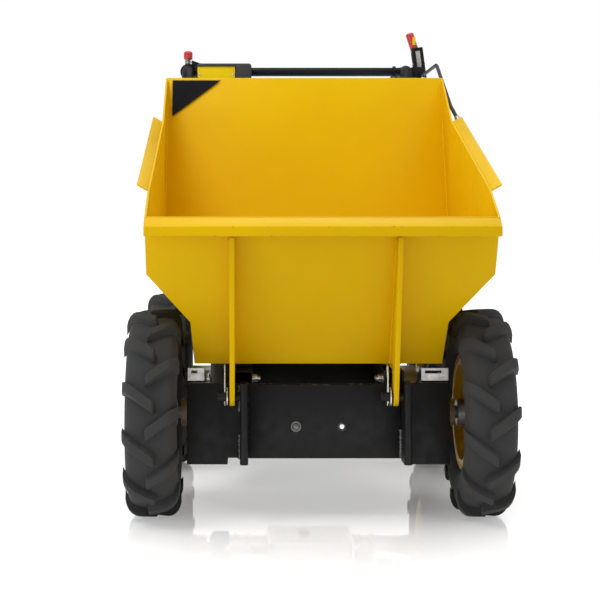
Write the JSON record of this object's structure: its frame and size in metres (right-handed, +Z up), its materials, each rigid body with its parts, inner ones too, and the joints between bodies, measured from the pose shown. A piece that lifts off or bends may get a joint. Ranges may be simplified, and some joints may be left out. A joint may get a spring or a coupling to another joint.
{
  "type": "four-wheel power barrow",
  "caption": "Walk-behind power barrow with a forward-tipping folded sheet skip, lugged driven wheels, rear engine and bent tube handles.",
  "frame": {"origin": "on the ground, under the middle of the machine's box", "axes": "+Y from the front lip to the handle grips, +X to the machine's side that is right in a view along +Y, +Z up"},
  "size_m": [0.76, 1.56, 1.1094],
  "materials": {
    "skip_paint": "semi-gloss yellow paint",
    "wheel_paint": "yellow paint",
    "frame_paint": "satin black paint",
    "axle_steel": "machined steel",
    "cast_alloy": "as cast",
    "cowl_paint": "gloss black paint",
    "black_plastic": "moulded",
    "hot_steel": "heat tinted",
    "grip_rubber": "moulded rubber",
    "red_plastic": "moulded",
    "tyre_rubber": "lugged tyre"
  },
  "bodies": {
    "chassis": {"frame_rails": "frame_paint", "frame_cross_members": "frame_paint", "front_box": "frame_paint", "front_cover": "frame_paint", "hinge_brackets": "frame_paint", "engine_deck": "frame_paint", "handle_left": "frame_paint", "handle_right": "frame_paint", "handle_cross_bar": "frame_paint", "belt_cover": "frame_paint", "front_axle": "axle_steel", "rear_axle": "axle_steel", "drive_shafts": "axle_steel", "gearbox": "cast_alloy", "engine_block": "cast_alloy", "starter_cowl": "cowl_paint", "fuel_tank": "cowl_paint", "console": "black_plastic", "air_filter": "black_plastic", "steer_levers": "black_plastic", "throttle_lever": "black_plastic", "drive_lever": "black_plastic", "drive_cable": "black_plastic", "muffler": "hot_steel", "grips": "grip_rubber", "skip_rests": "grip_rubber", "drive_lever_grip": "red_plastic", "throttle_knob": "red_plastic"},
    "skip": {"skip_front": "skip_paint", "skip_back": "skip_paint", "skip_floor": "skip_paint", "skip_side_left": "skip_paint", "skip_side_right": "skip_paint", "skip_rims": "skip_paint", "skip_lip": "skip_paint", "skip_ribs": "skip_paint", "skip_runners": "skip_paint"},
    "wheel_front_left": {"tyre_front_left": "tyre_rubber", "rim_front_left": "wheel_paint", "hub_front_left": "axle_steel"},
    "wheel_front_right": {"tyre_front_right": "tyre_rubber", "rim_front_right": "wheel_paint", "hub_front_right": "axle_steel"},
    "wheel_rear_left": {"tyre_rear_left": "tyre_rubber", "rim_rear_left": "wheel_paint", "hub_rear_left": "axle_steel"},
    "wheel_rear_right": {"tyre_rear_right": "tyre_rubber", "rim_rear_right": "wheel_paint", "hub_rear_right": "axle_steel"}
  },
  "joints": [
    {"name": "skip_tip", "type": "hinge", "parent": "chassis", "child": "skip", "pos_m": [0, -0.655, 0.25], "axis": [1, 0, 0], "range_deg": [0, 85]},
    {"name": "spin_front_left", "type": "hinge", "parent": "chassis", "child": "wheel_front_left", "pos_m": [-0.326, -0.555, 0.2075], "axis": [1, 0, 0], "continuous": true},
    {"name": "spin_front_right", "type": "hinge", "parent": "chassis", "child": "wheel_front_right", "pos_m": [0.326, -0.555, 0.2075], "axis": [1, 0, 0], "continuous": true},
    {"name": "spin_rear_left", "type": "hinge", "parent": "chassis", "child": "wheel_rear_left", "pos_m": [-0.326, 0.095, 0.2075], "axis": [1, 0, 0], "continuous": true},
    {"name": "spin_rear_right", "type": "hinge", "parent": "chassis", "child": "wheel_rear_right", "pos_m": [0.326, 0.095, 0.2075], "axis": [1, 0, 0], "continuous": true}
  ]
}
